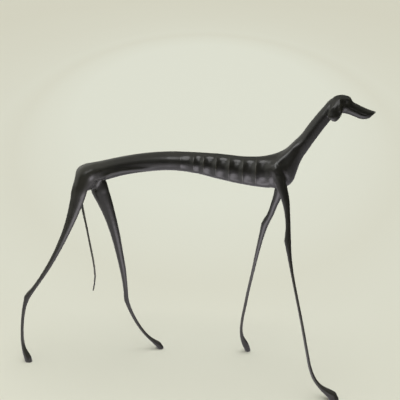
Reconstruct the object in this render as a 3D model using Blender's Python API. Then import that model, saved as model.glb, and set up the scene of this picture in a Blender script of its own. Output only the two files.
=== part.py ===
"""Carved wooden sighthound, long and thin, standing with its head towards +X. Metres, +Z up.

The dog is one piece of wood, so it is one object. Its trunk, head, ears, legs and tail are lofts
along their own centre lines, united by Booleans, with the eyes hollowed and the soles cut flat.
The origin is on the floor, at the middle of the dog's length and width.
"""

import math

import bmesh
import bpy
import numpy as np
from mathutils import Vector

# Trunk and neck, from the rump to the head: the top point (x, z) and the bottom point (x, z) of
# each section, then its half width. The back arches over the waist and the chest hangs deep.
TRUNK = [
    (-0.3405, 0.640, -0.3365, 0.598, 0.021),  # rump
    (-0.319, 0.6545, -0.305, 0.600, 0.028),
    (-0.277, 0.665, -0.269, 0.6045, 0.029),
    (-0.204, 0.684, -0.200, 0.6255, 0.026),
    (-0.127, 0.699, -0.124, 0.641, 0.024),  # waist
    (-0.050, 0.707, -0.050, 0.649, 0.025),
    (0.024, 0.708, 0.023, 0.644, 0.027),
    (0.098, 0.707, 0.095, 0.630, 0.030),
    (0.171, 0.703, 0.166, 0.6183, 0.032),
    (0.231, 0.7085, 0.239, 0.6120, 0.034),  # girth, behind the elbows
    (0.267, 0.720, 0.286, 0.6145, 0.034),
    (0.290, 0.733, 0.3135, 0.633, 0.031),
    (0.3035, 0.7455, 0.325, 0.665, 0.026),  # point of the chest
    (0.3155, 0.7585, 0.335, 0.697, 0.022),
    (0.333, 0.777, 0.359, 0.738, 0.019),
    (0.359, 0.815, 0.392, 0.789, 0.017),
    (0.387, 0.852, 0.417, 0.825, 0.017),
    (0.409, 0.879, 0.436, 0.857, 0.016),  # inside the skull
]
TRUNK_SIDES = 24
TRUNK_STEP = 0.016
NECK_STEP = 0.0085
FINE_STEP = 0.001

# Seven ribs stand as thin ridges between shallow bays, on each flank.
RIBS = (-0.019, 0.021, 0.051, 0.089, 0.128, 0.169, 0.208)
LAST_BAY_END = 0.246
BAY_SHARE = 0.15  # of the flank's reach, at the middle of a bay
BAY_TOP = math.radians(58)
BAY_BOTTOM = math.radians(-50)
BAY_EDGE = math.radians(22)
BAY_GROWTH = (-1.5, 1.5)  # the first bays, by number, are shallower
BAY_SECTIONS = 4

# Head, from the back of the skull to the nose, in the trunk's terms. It steps down at the brow.
HEAD = [
    (0.411, 0.879, 0.416, 0.860, 0.010),
    (0.422, 0.8905, 0.421, 0.849, 0.018),
    (0.440, 0.8970, 0.431, 0.8450, 0.0215),  # crown
    (0.457, 0.8958, 0.447, 0.8445, 0.0210),
    (0.4685, 0.8915, 0.456, 0.8440, 0.0190),  # brow
    (0.4745, 0.8805, 0.463, 0.8425, 0.0155),
    (0.488, 0.8730, 0.480, 0.8370, 0.0125),
    (0.508, 0.8638, 0.499, 0.8302, 0.0115),  # jaw
    (0.523, 0.8577, 0.513, 0.8300, 0.0105),
    (0.534, 0.8550, 0.526, 0.8345, 0.0090),
    (0.5395, 0.8530, 0.536, 0.8455, 0.0070),  # nose
]
HEAD_SIDES = 16
HEAD_STEP = 0.0065
EYE = (0.4665, 0.0245, 0.8775)
EYE_RADIUS = 0.0110
EYE_SEGMENTS = 12
EYE_RINGS = 8

# Ears, legs and tail follow rows of x, z and half depth. Sections are flatter where they are deep.
EAR = [
    (0.441, 0.887, 0.0070),
    (0.4395, 0.876, 0.0125),
    (0.4325, 0.857, 0.0185),
    (0.4265, 0.841, 0.0185),
    (0.4205, 0.8320, 0.0152),
]
EAR_OUT = ((0.887, 0.014), (0.862, 0.0215), (0.832, 0.0215))
EAR_HALF_THICKNESS = 0.0050
EAR_SIDES = 12
EAR_STEP = 0.008

RIGHT_HIND = [
    (-0.318, 0.627, 0.0250),  # hip
    (-0.333, 0.590, 0.0268),
    (-0.3452, 0.545, 0.0224),
    (-0.3583, 0.504, 0.0182),
    (-0.3787, 0.451, 0.0134),
    (-0.4025, 0.399, 0.0105),
    (-0.446, 0.320, 0.0079),
    (-0.4970, 0.245, 0.0072),
    (-0.516, 0.2195, 0.0088),  # hock
    (-0.528, 0.187, 0.0066),
    (-0.5342, 0.150, 0.0055),
    (-0.5377, 0.100, 0.0053),
    (-0.5363, 0.065, 0.0059),
    (-0.5300, 0.036, 0.0083),
    (-0.5190, 0.013, 0.0125),  # paw
    (-0.5155, -0.002, 0.0118),
]
LEFT_HIND = [
    (-0.314, 0.628, 0.0250),
    (-0.3015, 0.595, 0.0295),
    (-0.2915, 0.557, 0.0290),
    (-0.2795, 0.523, 0.0250),
    (-0.2652, 0.475, 0.0198),
    (-0.2510, 0.412, 0.0156),
    (-0.2406, 0.348, 0.0124),
    (-0.2314, 0.280, 0.0100),
    (-0.2268, 0.214, 0.0076),
    (-0.2263, 0.179, 0.0078),  # hock
    (-0.2203, 0.1545, 0.0066),
    (-0.2062, 0.1160, 0.0058),
    (-0.1880, 0.0800, 0.0055),
    (-0.1640, 0.0468, 0.0055),
    (-0.1440, 0.0285, 0.0072),
    (-0.1268, 0.0160, 0.0107),  # paw
    (-0.1185, 0.0035, 0.0103),
]
RIGHT_FORE = [
    (0.270, 0.668, 0.0150),  # shoulder
    (0.2845, 0.630, 0.0162),
    (0.2992, 0.586, 0.0118),
    (0.3062, 0.547, 0.0085),
    (0.3096, 0.515, 0.0078),
    (0.3113, 0.467, 0.0096),  # elbow
    (0.3190, 0.418, 0.0066),
    (0.3295, 0.367, 0.0049),
    (0.3482, 0.290, 0.0046),
    (0.3660, 0.217, 0.0047),
    (0.3835, 0.140, 0.0048),
    (0.3962, 0.089, 0.0052),
    (0.4060, 0.0652, 0.0057),
    (0.4232, 0.0418, 0.0065),
    (0.4445, 0.0262, 0.0106),
    (0.4632, 0.0160, 0.0153),  # paw
    (0.4722, 0.0015, 0.0142),
]
LEFT_FORE = [
    (0.270, 0.668, 0.0160),
    (0.275, 0.625, 0.0175),
    (0.270, 0.588, 0.0152),
    (0.2555, 0.545, 0.0110),
    (0.2437, 0.510, 0.0101),
    (0.2288, 0.480, 0.0113),  # elbow
    (0.2175, 0.438, 0.0088),
    (0.2033, 0.376, 0.0068),
    (0.1897, 0.310, 0.0054),
    (0.1742, 0.237, 0.0051),
    (0.1633, 0.179, 0.0052),
    (0.1525, 0.120, 0.0049),
    (0.1488, 0.080, 0.0052),
    (0.1510, 0.055, 0.0065),
    (0.1600, 0.031, 0.0105),
    (0.1675, 0.012, 0.0103),  # paw
    (0.1712, -0.002, 0.0086),
]
LEG_SIDES = 10
LEG_STEP = 0.016
LEG_ROUNDNESS = 0.88
THIGH_FLATNESS = 0.33
THIGH_LEAST_WIDTH = 0.0062
SPUR_REACH = 0.010

# How far each leg stands out from the middle plane, as height and distance at hip, joint and foot.
RIGHT_HIND_OUT = ((0.628, 0.020), (0.590, 0.031), (0.200, 0.063), (0.000, 0.087))
LEFT_HIND_OUT = ((0.628, 0.020), (0.590, 0.031), (0.200, 0.064), (0.000, 0.091))
RIGHT_FORE_OUT = ((0.668, 0.022), (0.630, 0.032), (0.467, 0.055), (0.000, 0.126))
LEFT_FORE_OUT = ((0.668, 0.022), (0.630, 0.032), (0.480, 0.059), (0.000, 0.134))

TAIL = [
    (-0.338, 0.610, 0.0100),
    (-0.346, 0.570, 0.0056),
    (-0.3412, 0.511, 0.0042),
    (-0.3318, 0.456, 0.0036),
    (-0.3208, 0.387, 0.0035),
    (-0.3109, 0.322, 0.0033),
    (-0.3082, 0.278, 0.0030),
    (-0.3165, 0.232, 0.0026),
]
TAIL_OUT = ((0.610, 0.0), (0.232, 0.0))
TAIL_SIDES = 8
TAIL_STEP = 0.025

RIGHT, LEFT = -1, 1

# Each leg: its rows and stance, its side, the row of its hock or elbow, and how far that juts out.
LEGS = {
    "right_hind_leg": (RIGHT_HIND, RIGHT_HIND_OUT, RIGHT, 8, 0.0030),
    "left_hind_leg": (LEFT_HIND, LEFT_HIND_OUT, LEFT, 9, 0.0005),
    "right_fore_leg": (RIGHT_FORE, RIGHT_FORE_OUT, RIGHT, 5, 0.0020),
    "left_fore_leg": (LEFT_FORE, LEFT_FORE_OUT, LEFT, 5, 0.0010),
}

CAP_RINGS = 3
FLOOR_CUT = (2.0, 1.0, 0.05)

BLACK_STAIN = (0.018, 0.016, 0.013, 1.0)
WAX_ROUGHNESS = 0.34


def clear_scene():
    for obj in list(bpy.data.objects):
        bpy.data.objects.remove(obj, do_unlink=True)


def collection(name):
    made = bpy.data.collections.new(name)
    bpy.context.scene.collection.children.link(made)
    return made


def smooth_rows(rows, step):
    """The rows read along one smooth curve through them, about a step apart."""
    rows = np.array(rows, dtype=float)
    run = np.linalg.norm(np.diff(rows[:, :3], axis=0), axis=1)
    knots = np.concatenate([[0.0], np.cumsum(run)])
    slopes = np.gradient(rows, knots, axis=0)
    count = max(3, round(knots[-1] / step) + 1)
    along = np.linspace(0.0, knots[-1], count)
    place = np.clip(np.searchsorted(knots, along, side="right") - 1, 0, len(run) - 1)
    length = run[place][:, None]
    t = ((along - knots[place]) / run[place])[:, None]
    start, end = rows[place], rows[place + 1]
    start_slope, end_slope = slopes[place] * length, slopes[place + 1] * length
    return (
        (2 * t**3 - 3 * t**2 + 1) * start
        + (t**3 - 2 * t**2 + t) * start_slope
        + (3 * t**2 - 2 * t**3) * end
        + (t**3 - t**2) * end_slope
    )


def smooth_step(low, high, value):
    t = min(1.0, max(0.0, (value - low) / (high - low)))
    return t * t * (3 - 2 * t)


def loft_object(name, sections, sides, into, bay=None):
    """A closed loft through sections of (centre, fore, aft, side) vectors, with rounded ends.

    Each section is two half ellipses, one reaching to fore and one to aft. bay tells which share of
    its side reach the section loses at an angle.
    """
    rings = []
    for centre, fore, aft, side in sections:
        ring = []
        for k in range(sides):
            angle = 2 * math.pi * k / sides
            reach = fore * math.cos(angle) if math.cos(angle) >= 0 else -aft * math.cos(angle)
            share = 1 - bay(centre, angle) if bay else 1
            ring.append(centre + reach + side * math.sin(angle) * share)
        rings.append(ring)
    first_rings, first_pole = end_cap(sections[0], sections[1], rings[0])
    last_rings, last_pole = end_cap(sections[-1], sections[-2], rings[-1])
    rings = first_rings[::-1] + rings + last_rings

    shape = bmesh.new()
    loops = [[shape.verts.new(point) for point in ring] for ring in rings]
    for here, there in zip(loops, loops[1:]):
        for k in range(sides):
            n = (k + 1) % sides
            shape.faces.new((here[k], here[n], there[n], there[k]))
    for pole, loop in ((first_pole, loops[0]), (last_pole, loops[-1])):
        tip = shape.verts.new(pole)
        for k in range(sides):
            shape.faces.new((loop[k], loop[(k + 1) % sides], tip))
    bmesh.ops.triangulate(shape, faces=shape.faces[:])
    bmesh.ops.recalc_face_normals(shape, faces=shape.faces[:])
    mesh = bpy.data.meshes.new(name)
    shape.to_mesh(mesh)
    shape.free()
    obj = bpy.data.objects.new(name, mesh)
    into.objects.link(obj)
    return obj


def end_cap(section, neighbour, ring):
    """Rings that round off a loft's end, and the pole that closes it."""
    centre, fore, aft, side = section
    out = (centre - neighbour[0]).normalized()
    length = min(fore.length + aft.length, 2 * side.length) / 2
    rings = []
    for k in range(1, CAP_RINGS + 1):
        turn = math.pi / 2 * k / (CAP_RINGS + 1)
        rings.append([
            centre + (point - centre) * math.cos(turn) + out * length * math.sin(turn) for point in ring
        ])
    return rings, centre + out * length


def spine_sections(rows, places):
    """Sections in the middle plane at these x, from rows of top, bottom and half width."""
    middles = [
        ((tx + bx) / 2, 0.0, (tz + bz) / 2, (tx - bx) / 2, (tz - bz) / 2, half)
        for tx, tz, bx, bz, half in rows
    ]
    dense = smooth_rows(middles, FINE_STEP)
    places = [x for x in places if dense[0, 0] < x < dense[-1, 0]]
    places = [dense[0, 0]] + places + [dense[-1, 0]]
    sections = []
    read = [np.interp(places, dense[:, 0], column) for column in dense.T]
    for x, y, z, up_x, up_z, half in zip(*read):
        up = Vector((up_x, 0, up_z))
        sections.append((Vector((x, y, z)), up, -up, Vector((0, half, 0))))
    return sections


def trunk_places():
    """Where the trunk has sections: on each rib, evenly between ribs, and wider apart elsewhere."""
    places = list(np.arange(TRUNK[0][0], RIBS[0] - TRUNK_STEP / 2, TRUNK_STEP))
    for here, there in zip(RIBS, RIBS[1:] + (LAST_BAY_END,)):
        places += list(np.linspace(here, there, BAY_SECTIONS, endpoint=False))
    places += list(np.arange(LAST_BAY_END, TRUNK[-1][0], NECK_STEP))
    return places


def limb_sections(rows, outs, hand, side_of, step, joint=0, spur=0.0):
    """Sections across a limb's own direction. Its joint, a row's number, juts out behind by spur."""
    heights = [z for z, _ in reversed(outs)]
    distances = [out for _, out in reversed(outs)]
    points = [(x, hand * np.interp(z, heights, distances), z, depth) for x, z, depth in rows]
    dense = smooth_rows(points, step)
    centres = dense[:, :3]
    directions = np.gradient(centres, axis=0)
    corner = np.array(points[joint][:3])
    sections = []
    for centre, direction, depth in zip(centres, directions, dense[:, 3]):
        along = Vector(direction).normalized()
        side = (Vector((0, 1, 0)) - along * along.y).normalized()
        fore = along.cross(side)
        jut = spur * math.exp(-((np.linalg.norm(centre - corner) / SPUR_REACH) ** 2))
        sections.append((Vector(centre), fore * depth, -fore * (depth + jut), side * side_of(depth)))
    return sections


def leg_side(depth):
    return min(LEG_ROUNDNESS * depth, THIGH_LEAST_WIDTH + THIGH_FLATNESS * depth)


def ear_side(depth):
    return min(depth, EAR_HALF_THICKNESS)


def tail_side(depth):
    return depth


def rib_bay(centre, angle):
    """The share of the flank's reach that a bay between two ribs takes away."""
    edges = RIBS + (LAST_BAY_END,)
    if not edges[0] < centre.x < edges[-1]:
        return 0.0
    here = max(k for k, edge in enumerate(edges) if centre.x > edge)
    across = (centre.x - edges[here]) / (edges[here + 1] - edges[here])
    hollow = 4 * across * (1 - across)
    slope = math.atan2(math.cos(angle), abs(math.sin(angle)))
    under_top = 1 - smooth_step(BAY_TOP - BAY_EDGE, BAY_TOP, slope)
    above_bottom = smooth_step(BAY_BOTTOM, BAY_BOTTOM + BAY_EDGE, slope)
    grown = smooth_step(*BAY_GROWTH, here)
    return BAY_SHARE * hollow * under_top * above_bottom * grown


def add_boolean(obj, other, operation):
    modifier = obj.modifiers.new(other.name, "BOOLEAN")
    modifier.operation = operation
    modifier.solver = "EXACT"
    modifier.object = other
    other.hide_render = True
    other.display_type = "WIRE"


def eye_hollow(name, hand, into):
    bpy.ops.mesh.primitive_uv_sphere_add(
        segments=EYE_SEGMENTS,
        ring_count=EYE_RINGS,
        radius=EYE_RADIUS,
        location=(EYE[0], hand * EYE[1], EYE[2]),
    )
    return keep_in(bpy.context.object, name, into)


def floor_block(into):
    bpy.ops.mesh.primitive_cube_add(size=1)
    block = keep_in(bpy.context.object, "floor_block", into)
    block.scale = FLOOR_CUT
    block.location = (0, 0, -FLOOR_CUT[2] / 2)
    return block


def keep_in(obj, name, into):
    obj.name = name
    for home in list(obj.users_collection):
        home.objects.unlink(obj)
    into.objects.link(obj)
    return obj


def stained_wood():
    material = bpy.data.materials.new("black_stained_wood")
    material.use_nodes = True
    shader = material.node_tree.nodes["Principled BSDF"]
    shader.inputs["Base Color"].default_value = BLACK_STAIN
    shader.inputs["Roughness"].default_value = WAX_ROUGHNESS
    shader.inputs["Metallic"].default_value = 0.0
    return material


def carved_dog(into, forms):
    """The whole carving: the trunk with everything that grows out of it."""
    dog = loft_object("carved_dog", spine_sections(TRUNK, trunk_places()), TRUNK_SIDES, into, rib_bay)
    head_places = np.arange(HEAD[0][0], HEAD[-1][0], HEAD_STEP)
    joined = [loft_object("head", spine_sections(HEAD, head_places), HEAD_SIDES, forms)]
    for hand, side in ((RIGHT, "right"), (LEFT, "left")):
        ear = limb_sections(EAR, EAR_OUT, hand, ear_side, EAR_STEP)
        joined.append(loft_object(side + "_ear", ear, EAR_SIDES, forms))
    for name, (rows, outs, hand, joint, spur) in LEGS.items():
        sections = limb_sections(rows, outs, hand, leg_side, LEG_STEP, joint, spur)
        joined.append(loft_object(name, sections, LEG_SIDES, forms))
    tail = limb_sections(TAIL, TAIL_OUT, LEFT, tail_side, TAIL_STEP)
    joined.append(loft_object("tail", tail, TAIL_SIDES, forms))
    for form in joined:
        add_boolean(dog, form, "UNION")
    for hand, side in ((RIGHT, "right"), (LEFT, "left")):
        add_boolean(dog, eye_hollow(side + "_eye_hollow", hand, forms), "DIFFERENCE")
    add_boolean(dog, floor_block(forms), "DIFFERENCE")
    dog.data.materials.append(stained_wood())
    dog.data.shade_smooth()
    return dog


def centre_on_floor(dog, parts):
    """Parents all the forms to one empty and moves it, so that the origin is mid length and width."""
    bpy.context.view_layer.update()
    evaluated = dog.evaluated_get(bpy.context.evaluated_depsgraph_get())
    corners = np.array([v.co for v in evaluated.data.vertices])
    middle = (corners.min(axis=0) + corners.max(axis=0)) / 2
    origin = bpy.data.objects.new("dog_origin", None)
    bpy.context.scene.collection.objects.link(origin)
    for obj in parts:
        obj.parent = origin
    origin.location = (-middle[0], -middle[1], 0)


def main():
    clear_scene()
    parts = collection("wooden_dog")
    forms = collection("joined_forms")
    dog = carved_dog(parts, forms)
    centre_on_floor(dog, list(parts.objects) + list(forms.objects))


main()
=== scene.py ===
"""Looks of the carved wooden sighthound: one smooth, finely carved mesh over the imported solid.

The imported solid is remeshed, its facets are faired away, and the finer carving is pushed into the
surface: ribs, shoulder, hip, flank and head. Metres, +Z up, the dog's head towards +X.
"""

import math

import bmesh
import bpy
import numpy as np
from mathutils import Matrix, Vector


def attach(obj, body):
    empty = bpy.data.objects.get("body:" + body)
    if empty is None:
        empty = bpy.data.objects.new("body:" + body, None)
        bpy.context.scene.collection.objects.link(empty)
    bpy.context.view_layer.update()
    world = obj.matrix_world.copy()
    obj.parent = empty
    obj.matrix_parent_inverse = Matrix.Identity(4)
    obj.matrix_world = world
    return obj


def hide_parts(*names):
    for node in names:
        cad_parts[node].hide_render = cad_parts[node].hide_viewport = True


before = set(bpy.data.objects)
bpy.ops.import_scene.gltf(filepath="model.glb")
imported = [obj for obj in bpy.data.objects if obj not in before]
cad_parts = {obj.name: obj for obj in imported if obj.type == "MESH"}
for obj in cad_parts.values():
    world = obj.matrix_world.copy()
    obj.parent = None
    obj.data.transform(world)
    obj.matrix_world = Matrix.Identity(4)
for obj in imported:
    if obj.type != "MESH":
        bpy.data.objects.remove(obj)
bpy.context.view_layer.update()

NODE = "carved_dog"
PIECE = "carved_dog_finish"

# ---- Mesh ----------------------------------------------------------------------------------------
VOXEL = 0.0016
TRIANGLES = 190_000
EVENNESS = 1e-5  # how much an edge's length counts against collapsing it
SOLE_HEIGHT = 0.0007  # the paws are flat below this

# Egg shapes that join the hips to the rump: centre, then reach along x, y and z
FILLINGS = (
    ((-0.3200, 0.0, 0.6205), (0.0360, 0.0410, 0.0345)),
    ((-0.3280, 0.0210, 0.6130), (0.0240, 0.0220, 0.0320)),
    ((-0.3280, -0.0210, 0.6130), (0.0240, 0.0220, 0.0320)),
    ((-0.3200, 0.0, 0.5960), (0.0250, 0.0340, 0.0280)),
)

# ---- Fairing: waves shorter than a zone's length are smoothed away -------------------------------
# A zone is its length and its ramps. A ramp is a direction, and the distances along it at which the
# zone has no hold and full hold. Later zones lie over earlier ones.
FORWARD, OUTWARD, UP = (1, 0, 0), (0, 1, 0), (0, 0, 1)
MUZZLEWARD = (1, 0, 0.6)
FAIR_LOW = (
    (0.014, ()),  # shanks
    (0.030, ((UP, 0.25, 0.45),)),  # thighs and upper arms
    (0.020, ((UP, 0.055, 0.035),)),  # paws
    (0.024, ((UP, 0.600, 0.625),)),  # trunk
)
FAIR_TAIL = 0.008
FAIR_HIGH = (
    (0.032, ((FORWARD, 0.225, 0.250), (UP, 0.600, 0.630), (UP, 0.720, 0.695))),  # shoulders
    (0.028, ((UP, 0.70, 0.74),)),  # neck
    (0.0085, ((MUZZLEWARD, 0.945, 0.965),)),  # head
)
EAR = ((OUTWARD, 0.012, 0.015), (FORWARD, 0.385, 0.395), (UP, 0.80, 0.81))
FAIR_EAR = (
    (0.016, ()),  # its flap
    (0.030, ((UP, 0.855, 0.880),)),  # its root
)
FAIR_RUMP = 0.055
RUMP = ((FORWARD, -0.200, -0.290), (UP, 0.530, 0.590))
RUMP_EDGE = 0.05  # shares of the rump below this are left out
TAIL_HALF_WIDTH = 0.012
TAIL_LIMITS = ((-0.300, 0.550), (-0.335, 0.585))  # (x, z): the tail lies behind and below these
FAIRING_STEPS = 150
RUMP_STEPS = 700
LARGEST_COTANGENT = 3.0
LEAST_AREA = 0.4 * VOXEL**2
SLIVER = LEAST_AREA / 100  # keeps flat triangles from dividing by nothing
GRID_DIAGONAL = 1.25  # the diagonal of bending twice on a square grid, over a point's weight squared
RUBS = 2  # half-steps to the neighbours' mean
WEAR_SPREAD = 8  # steps in which wear runs out from an edge
WEAR_RANGE = (0.02, 0.10)  # in voxels that a place stands proud

# ---- Ribs: bays scooped out of both flanks between thin upright crests ---------------------------
RIBS = (-0.0183, 0.0217, 0.0517, 0.0897, 0.1287, 0.1697, 0.2087)
RIB_STRENGTH = (0.3, 0.5, 0.8, 1.0, 1.0, 1.0, 1.0)
CREST_HEIGHT = 0.0010
CREST_WIDTH = 0.0020
CREST_SPAN = (-66, -50, 56, 70)  # degrees up the flank where a crest fades in and out
BAYS = (-0.058,) + RIBS + (0.2660,)
BAY_DEPTH = (0.0005, 0.0009, 0.0014, 0.0020, 0.0022, 0.0022, 0.0022, 0.0020)
BAY_SQUARENESS = 2.5
BAY_SPAN = (-72, -30, 34, 74)
TRUNK_END = 0.26
TRUNK_UNDERSIDE = 0.585
TRUNK_HALF_WIDTH = 0.05
TRUNK_SLICE = 0.01

# ---- Carved lines on both flanks: paths as (x, z), then strands as (offset, width, height) -------
# An offset to the left of the path is positive. A fade gives the shares of the path at which the
# line starts, is full, holds until and ends.
FLANK_LINE = (
    (-0.3014, 0.5954), (-0.2843, 0.6127), (-0.2551, 0.6245), (-0.2308, 0.6361),
    (-0.2002, 0.6447), (-0.1600, 0.6500), (-0.1200, 0.6540), (-0.0800, 0.6555),
)
FLANK_STRANDS = ((0.0, 0.0052, 0.0028), (0.012, 0.008, -0.0008), (-0.010, 0.006, -0.0022))
NECK_LINE = ((0.3302, 0.763), (0.3073, 0.737), (0.2877, 0.715), (0.2702, 0.696), (0.2623, 0.686))
NECK_STRANDS = ((0.0, 0.0085, 0.0021), (0.016, 0.009, -0.0007), (-0.015, 0.009, -0.0007))
EAR_FRONT = ((0.4410, 0.8880), (0.4440, 0.8700), (0.4430, 0.8500))
EAR_FOLD = ((0.4300, 0.8800), (0.4260, 0.8650), (0.4160, 0.8520))
MUZZLE_SIDE = ((0.4640, 0.8760), (0.4894, 0.8700), (0.5093, 0.8600), (0.5307, 0.8490))
MOUTH = ((0.4640, 0.8650), (0.4719, 0.8622), (0.4876, 0.8543), (0.5046, 0.8464), (0.5187, 0.8427))
LINES = (
    (FLANK_LINE, (0.05, 0.3, 0.7, 1.0), FLANK_STRANDS),
    (NECK_LINE, (0.0, 0.3, 0.7, 1.0), NECK_STRANDS),
    (EAR_FRONT, (0.0, 0.4, 0.8, 1.0), ((0.0, 0.0050, 0.0018), (0.007, 0.0030, -0.0020))),
    (EAR_FOLD, (0.0, 0.3, 0.7, 1.0), ((0.0, 0.0036, -0.0007),)),
    (MUZZLE_SIDE, (0.0, 0.1, 0.9, 1.0), ((0.0, 0.0045, 0.0004),)),
    (MOUTH, (0.0, 0.2, 0.95, 1.0), ((0.0, 0.0018, -0.0009),)),
)

# ---- Carved swellings and hollows on both flanks: (x, z), reach along x and z, height ------------
SPOTS = (
    ((-0.3030, 0.6430), (0.0130, 0.0140), 0.0016),  # hip
    ((0.2700, 0.6780), (0.0160, 0.0140), 0.0014),  # point of the shoulder
    ((0.4600, 0.8805), (0.0042, 0.0038), -0.0036),  # eye
    ((0.4690, 0.8900), (0.0050, 0.0040), 0.0014),  # brow
    ((0.4411, 0.8880), (0.0075, 0.0045), 0.0014),  # skull above the ear
    ((0.4545, 0.8680), (0.0055, 0.0120), -0.0016),  # hollow before the ear
    ((0.4270, 0.8390), (0.0130, 0.0085), 0.0020),  # lobe of the ear
)
ARM = ((0.2600, 0.6830), (0.2800, 0.6560), (0.2930, 0.6250))
ARM_HEIGHT = 0.0030
ARM_EDGE = (0.0170, 0.0050)  # distances from the arm's line where it has gone and is full
ARM_FADE = (-0.5, 0.4, 0.5, 1.0)  # the arm is already more than half full where it starts
FLANK_FACING = (0.3, 0.65)  # how squarely a place faces sideways for lines and spots to show
FLANK_REACH = 0.06
TOP_OF_RUMP = ((-0.3400, 0.6620), (0.018, 0.018), -0.0040)
UP_AND_BACK = (-0.5, 0, 1)
UP_AND_BACK_FACING = (0.0, 0.5)
SHANK_SWELL = 0.0001
SHANK_TOP = (0.45, 0.25)


def smooth_step(none, full, value):
    """0 at none and 1 at full, with a smooth rise between them."""
    t = np.clip((value - none) / (full - none), 0.0, 1.0)
    return t * t * (3 - 2 * t)


def fade(values, span):
    """0 outside the start and the end, 1 from full to hold."""
    start, full, hold, end = span
    return smooth_step(start, full, values) * smooth_step(end, hold, values)


def hill(distance, width):
    """1 at no distance, falling off smoothly over about the width."""
    return np.exp(-((distance / width) ** 2))


def spot(points, centre, reach, height):
    """A smooth hill in the side view."""
    return height * hill(points[:, 0] - centre[0], reach[0]) * hill(points[:, 2] - centre[1], reach[1])


def zone_share(points, ramps):
    """How far each point is in a zone: the product of its ramps, the same on both flanks."""
    one_flank = np.column_stack((points[:, 0], np.abs(points[:, 1]), points[:, 2]))
    share = np.ones(len(points))
    for direction, none, full in ramps:
        share *= smooth_step(none, full, one_flank @ direction)
    return share


# ---- Meshes --------------------------------------------------------------------------------------


def filled(mesh):
    """A copy of the mesh with the fillings laid into it."""
    shape = bmesh.new()
    shape.from_mesh(mesh)
    for centre, reach in FILLINGS:
        place = Matrix.Translation(centre) @ Matrix.Diagonal((*reach, 1))
        bmesh.ops.create_icosphere(shape, subdivisions=4, radius=1, matrix=place)
    made = bpy.data.meshes.new("filled")
    shape.to_mesh(made)
    shape.free()
    return made


def modified(mesh, kind, set_up):
    """The mesh after one modifier, which set_up is given together with its object."""
    holder = bpy.data.objects.new(kind, mesh)
    bpy.context.scene.collection.objects.link(holder)
    set_up(holder, holder.modifiers.new(kind, kind))
    evaluated = holder.evaluated_get(bpy.context.evaluated_depsgraph_get())
    made = bpy.data.meshes.new_from_object(evaluated)
    bpy.data.objects.remove(holder)
    return made


def remeshed(mesh):
    """The mesh's outer surface as an even grid of small quads."""

    def set_up(holder, modifier):
        modifier.mode = "VOXEL"
        modifier.voxel_size = VOXEL
        modifier.adaptivity = 0.0

    return modified(mesh, "REMESH", set_up)


def thinned(mesh):
    """The mesh with fewer triangles where it is nearly flat."""

    def set_up(holder, modifier):
        # A group that weighs all points alike makes the modifier count each edge's length too.
        evenly = holder.vertex_groups.new(name="evenly")
        evenly.add(range(len(mesh.vertices)), 0.5, "REPLACE")
        modifier.ratio = TRIANGLES / sum(len(face.vertices) - 2 for face in mesh.polygons)
        modifier.vertex_group = evenly.name
        modifier.vertex_group_factor = EVENNESS

    return modified(mesh, "DECIMATE", set_up)


def read_points(mesh):
    points = np.empty(len(mesh.vertices) * 3, np.float32)
    mesh.vertices.foreach_get("co", points)
    return points.reshape(-1, 3).astype(float)


def read_triangles(mesh):
    mesh.calc_loop_triangles()
    corners = np.empty(len(mesh.loop_triangles) * 3, np.int32)
    mesh.loop_triangles.foreach_get("vertices", corners)
    return corners.reshape(-1, 3)


def write_points(mesh, points):
    mesh.vertices.foreach_set("co", points.astype(np.float32).ravel())
    mesh.update()


# ---- Fairing -------------------------------------------------------------------------------------


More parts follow.
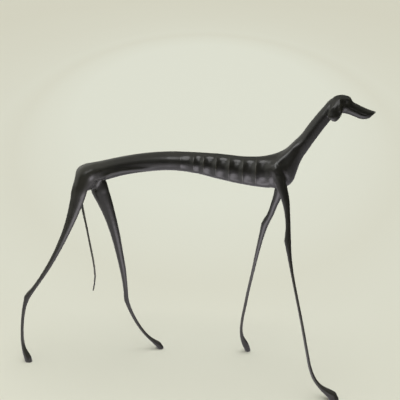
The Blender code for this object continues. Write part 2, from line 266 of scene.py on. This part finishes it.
class Surface:
    """A mesh's bending, from its triangles' angles and areas, and the fairing that evens it out."""

    def __init__(self, points, triangles):
        self.count = len(points)
        self.triangles = triangles
        following = np.roll(triangles, -1, axis=1)
        opposite = points[np.roll(triangles, -2, axis=1)]
        arm, other = points[triangles] - opposite, points[following] - opposite
        doubled = np.linalg.norm(np.cross(arm, other), axis=-1)
        cotangent = (arm * other).sum(axis=-1) / np.maximum(doubled, SLIVER)
        cotangent = np.clip(cotangent, 0, LARGEST_COTANGENT) / 2
        low, high = np.minimum(triangles, following), np.maximum(triangles, following)
        pairs, which = np.unique((low.astype(np.int64) * self.count + high).ravel(), return_inverse=True)
        self.a, self.b = pairs // self.count, pairs % self.count
        self.weight = np.bincount(which.ravel(), cotangent.ravel())
        degree = np.bincount(self.a, self.weight, self.count) + np.bincount(self.b, self.weight, self.count)
        area = np.bincount(triangles.ravel(), doubled.ravel() / 6, self.count)
        self.degree, self.area = degree[:, None], np.maximum(area, LEAST_AREA)[:, None]

    def bend(self, values):
        """How far each point's values stand off the mean of its neighbours', times its weight."""
        made = self.degree * values
        for k in range(values.shape[1]):
            column = values[:, k]
            made[:, k] -= np.bincount(self.a, self.weight * column[self.b], self.count)
            made[:, k] -= np.bincount(self.b, self.weight * column[self.a], self.count)
        return made

    def normals(self, points):
        """The direction each point faces, from the triangles round it."""
        a, b, c = np.moveaxis(points[self.triangles], 1, 0)
        faces = np.cross(b - a, c - a)
        corners = self.triangles.ravel()
        total = [np.bincount(corners, np.repeat(faces[:, k], 3), self.count) for k in range(3)]
        total = np.stack(total, axis=1)
        return total / np.maximum(np.linalg.norm(total, axis=1, keepdims=True), LEAST_AREA)

    def faired(self, values, lengths, steps):
        """Values that stay near the given ones and bend little, by conjugate gradients."""
        stiffness = (lengths[:, None] / (2 * math.pi)) ** 4 / self.area

        def apply(tried):
            return self.area * tried + self.bend(stiffness * self.bend(tried))

        scale = self.area + GRID_DIAGONAL * stiffness * self.degree**2
        found = values.copy()
        rest = self.area * values - apply(found)
        ready = rest / scale
        step = ready.copy()
        power = (rest * ready).sum()
        for _ in range(steps):
            pushed = apply(step)
            share = power / (step * pushed).sum()
            found += share * step
            rest -= share * pushed
            ready = rest / scale
            new_power = (rest * ready).sum()
            step = ready + new_power / power * step
            power = new_power
        return found

    def kept_full(self, points, lengths, steps):
        """Faired, then swollen by what that took off, itself faired, so that thin limbs keep their girth."""
        thin = self.faired(points, lengths, steps)
        normals = self.normals(thin)
        lost = ((points - thin) * normals).sum(axis=1)[:, None]
        return thin + normals * self.faired(lost, lengths, steps)

    def rubbed_down(self, points):
        """The points drawn towards their neighbours' mean, so that no speck stands up."""
        for _ in range(RUBS):
            points = points - 0.5 * self.bend(points) / self.degree
        return points

    def wear(self, points):
        """How proud each place is of its surroundings: 0 where flat or hollow, 1 on a sharp edge."""
        proud = (self.bend(points) / self.degree * self.normals(points)).sum(axis=1)[:, None] / VOXEL
        for _ in range(WEAR_SPREAD):
            proud = proud - 0.5 * self.bend(proud) / self.degree
        return smooth_step(*WEAR_RANGE, proud[:, 0])


def on_tail(points):
    x, y, z = points.T
    behind_and_below = [(x < limit_x) & (z < limit_z) for limit_x, limit_z in TAIL_LIMITS]
    return np.any(behind_and_below, axis=0) & (np.abs(y) < TAIL_HALF_WIDTH)


def zoned(points, length, zones):
    """The lengths after each zone has drawn them towards its own."""
    for zone_length, ramps in zones:
        length = length + (zone_length - length) * zone_share(points, ramps)
    return length


def fairing_lengths(points):
    """The wavelength below which each place is faired."""
    none = np.zeros(len(points))
    length = np.where(on_tail(points), FAIR_TAIL, zoned(points, none, FAIR_LOW))
    length = zoned(points, length, FAIR_HIGH)
    ear_length = zoned(points, none, FAIR_EAR)
    return length + (ear_length - length) * zone_share(points, EAR)


def rump_faired(points, triangles):
    """The points with the rump and the tops of the thighs run together."""
    share = np.where(on_tail(points), 0.0, zone_share(points, RUMP))
    chosen = share > RUMP_EDGE
    number = np.cumsum(chosen) - 1
    rump = Surface(points[chosen], number[triangles[chosen[triangles].all(axis=1)]])
    made = points.copy()
    made[chosen] = rump.kept_full(points[chosen], FAIR_RUMP * share[chosen], RUMP_STEPS)
    return made


# ---- Carving -------------------------------------------------------------------------------------


def stroke(points, path):
    """Signed distance in the side view to a path of (x, z), and the share of the way along it."""
    path = np.array(path)
    runs = np.diff(path, axis=0)
    lengths = np.linalg.norm(runs, axis=1)
    starts = np.concatenate([[0.0], np.cumsum(lengths)])
    side_view = points[:, (0, 2)]
    best = np.full(len(points), np.inf)
    signed = np.zeros(len(points))
    along = np.zeros(len(points))
    for start, run, length, before in zip(path, runs, lengths, starts):
        offset = side_view - start
        t = np.clip(offset @ run / length**2, 0.0, 1.0)
        distance = np.linalg.norm(offset - t[:, None] * run, axis=1)
        nearer = distance < best
        best[nearer] = distance[nearer]
        turn = run[0] * offset[:, 1] - run[1] * offset[:, 0]
        signed[nearer] = np.where(turn[nearer] >= 0, distance[nearer], -distance[nearer])
        along[nearer] = (before + t[nearer] * length) / starts[-1]
    return signed, along


def flank_degrees(points):
    """How many degrees each point lies round the trunk, above the middle of its side."""
    x, y, z = points.T
    on_trunk = (z > TRUNK_UNDERSIDE) & (np.abs(x) < TRUNK_END) & (np.abs(y) < TRUNK_HALF_WIDTH)
    edges = np.arange(-TRUNK_END, TRUNK_END + TRUNK_SLICE / 2, TRUNK_SLICE)
    slice_of = np.digitize(x[on_trunk], edges)
    slices = [z[on_trunk][slice_of == k] for k in range(1, len(edges))]
    middles = (edges[1:] + edges[:-1]) / 2
    top = np.interp(x, middles, [heights.max() for heights in slices])
    bottom = np.interp(x, middles, [heights.min() for heights in slices])
    height = (z - (top + bottom) / 2) / ((top - bottom) / 2)
    return np.degrees(np.arcsin(np.clip(height, -1, 1)))


def rib_carving(points):
    x, y, z = points.T
    degrees = flank_degrees(points)
    push = np.zeros(len(points))
    for place, strength in zip(RIBS, RIB_STRENGTH):
        push += CREST_HEIGHT * strength * hill(x - place, CREST_WIDTH)
    push *= fade(degrees, CREST_SPAN)
    scoop = fade(degrees, BAY_SPAN)
    for start, end, depth in zip(BAYS, BAYS[1:], BAY_DEPTH):
        across = np.abs(np.clip(2 * (x - start) / (end - start) - 1, -1, 1))
        push -= depth * (1 - across**BAY_SQUARENESS) * scoop
    return np.where((z > TRUNK_UNDERSIDE) & (np.abs(y) < TRUNK_HALF_WIDTH), push, 0.0)


def line_carving(points):
    push = np.zeros(len(points))
    for path, span, strands in LINES:
        aside, along = stroke(points, path)
        for offset, width, height in strands:
            push += height * hill(aside - offset, width) * fade(along, span)
    return push


def arm_carving(points):
    aside, along = stroke(points, ARM)
    return ARM_HEIGHT * smooth_step(*ARM_EDGE, np.abs(aside)) * fade(along, ARM_FADE)


def carving(points, normals):
    """How far each point is pushed out along its normal."""
    flank = smooth_step(*FLANK_FACING, np.abs(normals[:, 1])) * (np.abs(points[:, 1]) < FLANK_REACH)
    on_flank = line_carving(points) + arm_carving(points)
    on_flank += sum(spot(points, *place) for place in SPOTS)
    facing_up_and_back = smooth_step(*UP_AND_BACK_FACING, normals @ UP_AND_BACK)
    push = rib_carving(points) + on_flank * flank
    push += spot(points, *TOP_OF_RUMP) * facing_up_and_back
    return push + SHANK_SWELL * smooth_step(*SHANK_TOP, points[:, 2])


def flat_soles(points):
    points[points[:, 2] < SOLE_HEIGHT, 2] = 0.0


def finished_dog():
    mesh = remeshed(filled(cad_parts[NODE].data))
    points, triangles = read_points(mesh), read_triangles(mesh)
    surface = Surface(points, triangles)
    points = surface.kept_full(points, fairing_lengths(points), FAIRING_STEPS)
    points = surface.rubbed_down(rump_faired(points, triangles))
    normals = surface.normals(points)
    points += normals * carving(points, normals)[:, None]
    flat_soles(points)
    write_points(mesh, points)
    wear = mesh.attributes.new("wear", "FLOAT", "POINT")
    wear.data.foreach_set("value", Surface(points, triangles).wear(points).astype(np.float32))
    mesh = thinned(mesh)
    mesh.name = PIECE
    mesh.shade_smooth()
    mesh.materials.clear()
    mesh.materials.append(ebonised_wood())
    dog = bpy.data.objects.new(PIECE, mesh)
    bpy.context.scene.collection.objects.link(dog)
    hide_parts(NODE)
    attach(dog, "root")


# ---- Nodes ---------------------------------------------------------------------------------------


class Nodes:
    """Puts together the nodes of one material or world."""

    def __init__(self, owner):
        owner.use_nodes = True
        self.tree = owner.node_tree

    def give(self, socket, value):
        """Links a socket to another node's output, or sets its number, vector or colour."""
        if isinstance(value, bpy.types.NodeSocket):
            self.tree.links.new(value, socket)
        else:
            socket.default_value = value

    def put(self, kind, inputs, **settings):
        node = self.tree.nodes.new("ShaderNode" + kind)
        for name, value in settings.items():
            setattr(node, name, value)
        for slot, value in inputs.items():
            self.give(node.inputs[slot], value)
        return node

    def coordinate(self, name):
        return self.put("TexCoord", {}).outputs[name]

    def parts(self, vector):
        return self.put("SeparateXYZ", {"Vector": vector}).outputs

    def noise(self, vector, scale, detail, roughness):
        inputs = {"Vector": vector, "Scale": scale, "Detail": detail, "Roughness": roughness}
        return self.put("TexNoise", inputs).outputs["Fac"]

    def stretched(self, vector, scale):
        return self.put("Mapping", {"Vector": vector, "Scale": scale}).outputs["Vector"]

    def length(self, vector):
        return self.put("VectorMath", {0: vector}, operation="LENGTH").outputs["Value"]

    def remap(self, value, old, new):
        inputs = {"Value": value, "From Min": old[0], "From Max": old[1], "To Min": new[0], "To Max": new[1]}
        return self.put("MapRange", inputs).outputs["Result"]

    def product(self, a, b):
        return self.put("Math", {0: a, 1: b}, operation="MULTIPLY").outputs[0]

    def mixed_numbers(self, share, a, b):
        return self.put("Mix", {0: share, 2: a, 3: b}, data_type="FLOAT").outputs[0]

    def mixed_colours(self, share, a, b):
        return self.put("Mix", {0: share, 6: a, 7: b}, data_type="RGBA").outputs[2]

    def ramp(self, share, stops, tint=(1, 1, 1)):
        """The tint at the strength that the stops give for the share; they run from 0 to 1."""
        node = self.put("ValToRGB", {"Fac": share})
        elements = node.color_ramp.elements
        for place, _ in stops[1:-1]:
            elements.new(place)
        for element, (_, strength) in zip(elements, stops):
            element.color = (*(strength * part for part in tint), 1)
        return node.outputs["Color"]


# ---- Wood ----------------------------------------------------------------------------------------
STAIN = (0.0120, 0.0115, 0.0090, 1)
STAIN_LIGHT = (0.0190, 0.0180, 0.0140, 1)
LEG_STAIN = (0.030, 0.027, 0.023, 1)
# Painted light: the rump's colour is made paler, as though lit from above
RUMP_PAINTED_LIGHT = (0.046, 0.045, 0.034, 1)
RUBBED = (0.095, 0.090, 0.068, 1)
TRUNK_GRAIN = (0.56, 0.62)  # heights between which the grain turns from upright to level
DOWN_LEG = (0.58, 0.15)
TO_RUMP_LIGHT_PAINT = (-0.22, -0.31)
RUMP_LIGHT_PAINT_MOST = 0.5
TO_HEAD = (0.36, 0.44)
GRAIN_SCALE = 260
GRAIN_STRETCH = 0.07
GRAIN_RANGE = (0.35, 0.65)
CLOUD_SCALE = 22
CLOUD_RANGE = (0.35, 0.65)
RUBBED_SHARE = (0.25, 0.75)  # of worn places, as the clouds go
ROUGHNESS_RANGE = (0.3, 0.7)
ROUGHNESS = (0.26, 0.42)
COAT = (1.0, 0.4)  # on the body and on the head


def ebonised_wood():
    """Wood stained black and waxed: fine grain along each limb, rubbed paler on its edges, and the rump
    painted paler as though lit from above.
    """
    material = bpy.data.materials.new("ebonised_wood")
    nodes = Nodes(material)
    place = nodes.coordinate("Object")
    along_x, _, height = nodes.parts(place)
    level = nodes.noise(nodes.stretched(place, (GRAIN_STRETCH, 1, 1)), GRAIN_SCALE, 4, 0.6)
    upright = nodes.noise(nodes.stretched(place, (1, 1, GRAIN_STRETCH)), GRAIN_SCALE, 4, 0.6)
    grain = nodes.mixed_numbers(nodes.remap(height, TRUNK_GRAIN, (0, 1)), upright, level)
    clouds = nodes.noise(place, CLOUD_SCALE, 3, 0.5)
    wear = nodes.put("Attribute", {}, attribute_name="wear").outputs["Fac"]

    colour = nodes.mixed_colours(nodes.remap(grain, GRAIN_RANGE, (0, 1)), STAIN, STAIN_LIGHT)
    colour = nodes.mixed_colours(nodes.remap(height, DOWN_LEG, (0, 1)), colour, LEG_STAIN)
    # Painted light: the colour pales towards the rump, as though it were lit from above
    colour = nodes.mixed_colours(nodes.remap(along_x, TO_RUMP_LIGHT_PAINT, (0, RUMP_LIGHT_PAINT_MOST)), colour, RUMP_PAINTED_LIGHT)
    rubbed = nodes.product(wear, nodes.remap(clouds, CLOUD_RANGE, RUBBED_SHARE))
    bump = nodes.put("Bump", {"Height": grain, "Strength": 0.4, "Distance": 0.0004})
    finish = {
        "Base Color": nodes.mixed_colours(rubbed, colour, RUBBED),
        "Roughness": nodes.remap(clouds, ROUGHNESS_RANGE, ROUGHNESS),
        "IOR": 1.55,
        "Normal": bump.outputs["Normal"],
        "Coat Weight": nodes.remap(along_x, TO_HEAD, COAT),
        "Coat Roughness": 0.20,
        "Coat IOR": 1.7,
    }
    shader = nodes.tree.nodes["Principled BSDF"]
    for slot, value in finish.items():
        nodes.give(shader.inputs[slot], value)
    return material


# ---- Studio --------------------------------------------------------------------------------------
LENS = 77.4
AIM = Vector((0.0362, -0.0027, 0.5599))
CAMERA_AZIMUTH = 11.95
CAMERA_ELEVATION = 17.32
CAMERA_DISTANCE = 2.606

ROOM = 40.0
PAPER = (0.793, 0.808, 0.707, 1)
# Painted shade: the paper's colour away from the painted pool of light
PAPER_PAINTED_SHADE = (0.715, 0.705, 0.592, 1)
BACKDROP = (0.672, 0.663, 0.556, 1)
# How far the paper's colour is darkened with painted shade, by the share of the way out of a pool of light
# painted on it; a darker painted band lies near the pool's edge
PAINTED_LIGHT_FALLOFF = (
    (0.0, 0.0), (0.2875, 0.05), (0.35, 0.35), (0.3875, 0.65),
    (0.43125, 0.50), (0.4625, 0.60), (0.625, 0.8), (1.0, 1.0),
)
# Where the pool of light painted on the paper lies, how it turns and how far it reaches
PAINTED_POOL_AT = (-0.95, 4.9, 0)
PAINTED_POOL_TURN = CAMERA_AZIMUTH
PAINTED_POOL_SIZE = (3.68, 11.2, 1)

# Light that only the wood's gloss sees: on the floor, by the share of the way out to its edge
GLOW_TINT = (0.98, 0.93, 1.0)
WIDE_GLOW = ((0.0, 0.40), (0.2, 0.38), (0.36667, 0.25), (0.53333, 0.15), (1.0, 0.05))
WIDE_GLOW_AT = (0.10, -0.20, 0.0004)
WIDE_GLOW_REACH = 3.0
HOT_GLOW = ((0.0, 1.1), (0.50, 1.0), (0.75, 0.32), (1.0, 0.0))
HOT_GLOW_AT = (0.24, -0.64, 0.0008)
HOT_GLOW_REACH = 0.64

SKY_TINT = (1.0, 1.0, 0.9)
SKY = ((0.0, 0.02), (0.42, 0.04), (0.57, 0.12), (0.77, 0.20), (1.0, 0.27))  # by height
WALL_TINT = (1.0, 1.0, 0.92)
WALL = ((0.0, 0.0), (0.65, 0.0), (0.825, 0.36), (1.0, 0.42))  # by nearness to its middle
WALL_DIRECTION = (-1.0, 0.1, 0.0)
WALL_HEIGHT = ((0.0, 0.3), (0.15, 1.0), (0.60, 1.0), (0.85, 0.0), (1.0, 0.0))

KEY_AT = (-0.10, -0.95, 1.38)
KEY_TARGET = (0.10, 0.0, 0.65)
KEY_SIZE = 0.70
KEY_RADIANCE = 1.5
OVERHEAD_STRENGTH = 2.2
OVERHEAD_SPREAD = 60


def add_looking(made, direction):
    """Adds a light or camera to the scene, looking in a direction."""
    made.rotation_mode = "QUATERNION"
    made.rotation_quaternion = Vector(direction).to_track_quat("-Z", "Y")
    bpy.context.scene.collection.objects.link(made)


def paper_floor():
    """A round sheet of pale paper, with a pool of light painted into its colour behind the dog and painted
    shade round it.
    """
    bpy.ops.mesh.primitive_circle_add(vertices=96, radius=ROOM, fill_type="NGON")
    floor = bpy.context.object
    floor.name = "floor"
    floor.visible_glossy = False
    material = bpy.data.materials.new("paper")
    nodes = Nodes(material)
    painted_pool = nodes.put("Mapping", {
        "Vector": nodes.coordinate("Object"),
        "Location": PAINTED_POOL_AT,
        "Rotation": (0, 0, math.radians(PAINTED_POOL_TURN)),
        "Scale": PAINTED_POOL_SIZE,
    }, vector_type="TEXTURE")
    # Painted light and shade: the paper's colour is dimmed away from the painted pool of light
    painted_shading = nodes.ramp(nodes.length(painted_pool.outputs["Vector"]), PAINTED_LIGHT_FALLOFF)
    shader = nodes.tree.nodes["Principled BSDF"]
    shader.inputs["Roughness"].default_value = 1.0
    shader.inputs["Specular IOR Level"].default_value = 0.0
    nodes.give(shader.inputs["Base Color"], nodes.mixed_colours(painted_shading, PAPER, PAPER_PAINTED_SHADE))
    floor.data.materials.append(material)


def backdrop():
    """A pale dome that closes the room behind the floor and lights nothing."""
    bpy.ops.mesh.primitive_uv_sphere_add(segments=64, ring_count=32, radius=ROOM)
    dome = bpy.context.object
    dome.name = "backdrop"
    dome.visible_glossy = dome.visible_diffuse = dome.visible_shadow = dome.visible_transmission = False
    material = bpy.data.materials.new("backdrop")
    shader = Nodes(material).tree.nodes["Principled BSDF"]
    shader.inputs["Base Color"].default_value = (0, 0, 0, 1)
    shader.inputs["Specular IOR Level"].default_value = 0.0
    shader.inputs["Emission Color"].default_value = BACKDROP
    shader.inputs["Emission Strength"].default_value = 1.0
    dome.data.materials.append(material)


def floor_glow(name, place, reach, falloff):
    """A pool of light on the floor, as the gloss of the wood sees it."""
    bpy.ops.mesh.primitive_plane_add(size=2, location=place)
    glow = bpy.context.object
    glow.name = name
    glow.scale = (reach, reach, 1)
    glow.visible_camera = glow.visible_diffuse = glow.visible_shadow = glow.visible_transmission = False
    material = bpy.data.materials.new(name)
    nodes = Nodes(material)
    nodes.tree.nodes.clear()
    colour = nodes.ramp(nodes.length(nodes.coordinate("Object")), falloff, GLOW_TINT)
    light = nodes.put("Emission", {"Color": colour}).outputs[0]
    clear = nodes.put("BsdfTransparent", {}).outputs[0]
    both = nodes.put("AddShader", {0: light, 1: clear}).outputs[0]
    nodes.put("OutputMaterial", {"Surface": both})
    glow.data.materials.append(material)


def studio_world():
    """A dark room that pales towards its ceiling, with a pale wall past the dog's tail."""
    world = bpy.data.worlds.new("studio")
    bpy.context.scene.world = world
    nodes = Nodes(world)
    direction = nodes.coordinate("Generated")
    height = nodes.parts(direction)["Z"]
    middle = Vector(WALL_DIRECTION).normalized()
    towards = nodes.put("VectorMath", {0: direction, 1: middle}, operation="DOT_PRODUCT").outputs["Value"]
    wall = nodes.ramp(nodes.remap(towards, (-1, 1), (0, 1)), WALL, WALL_TINT)
    band = nodes.ramp(height, WALL_HEIGHT)
    sky = nodes.ramp(height, SKY, SKY_TINT)
    total = nodes.put("VectorMath", {0: wall, 1: band, 2: sky}, operation="MULTIPLY_ADD")
    nodes.give(nodes.tree.nodes["Background"].inputs["Color"], total.outputs[0])


def key_light():
    """A round soft light above the dog and on its right, with one radiance whatever its size."""
    light = bpy.data.lights.new("key", "AREA")
    light.shape = "DISK"
    light.size = KEY_SIZE
    light.energy = KEY_RADIANCE * math.pi * (math.pi * KEY_SIZE**2 / 4)
    lamp = bpy.data.objects.new("key", light)
    lamp.location = KEY_AT
    add_looking(lamp, Vector(KEY_TARGET) - lamp.location)


def overhead_light():
    """Soft light from straight above, which the gloss doesn't see."""
    light = bpy.data.lights.new("overhead", "SUN")
    light.energy = OVERHEAD_STRENGTH
    light.angle = math.radians(OVERHEAD_SPREAD)
    lamp = bpy.data.objects.new("overhead", light)
    lamp.visible_glossy = False
    add_looking(lamp, (0, 0, -1))


def camera():
    data = bpy.data.cameras.new("camera")
    data.lens = LENS
    made = bpy.data.objects.new("camera", data)
    azimuth, elevation = math.radians(CAMERA_AZIMUTH), math.radians(CAMERA_ELEVATION)
    back = Vector((
        math.sin(azimuth) * math.cos(elevation),
        -math.cos(azimuth) * math.cos(elevation),
        math.sin(elevation),
    ))
    made.location = AIM + back * CAMERA_DISTANCE
    add_looking(made, -back)
    bpy.context.scene.camera = made


finished_dog()
paper_floor()
backdrop()
floor_glow("wide_glow", WIDE_GLOW_AT, WIDE_GLOW_REACH, WIDE_GLOW)
floor_glow("hot_glow", HOT_GLOW_AT, HOT_GLOW_REACH, HOT_GLOW)
studio_world()
overhead_light()
key_light()
camera()
bpy.context.scene.view_settings.view_transform = "Standard"
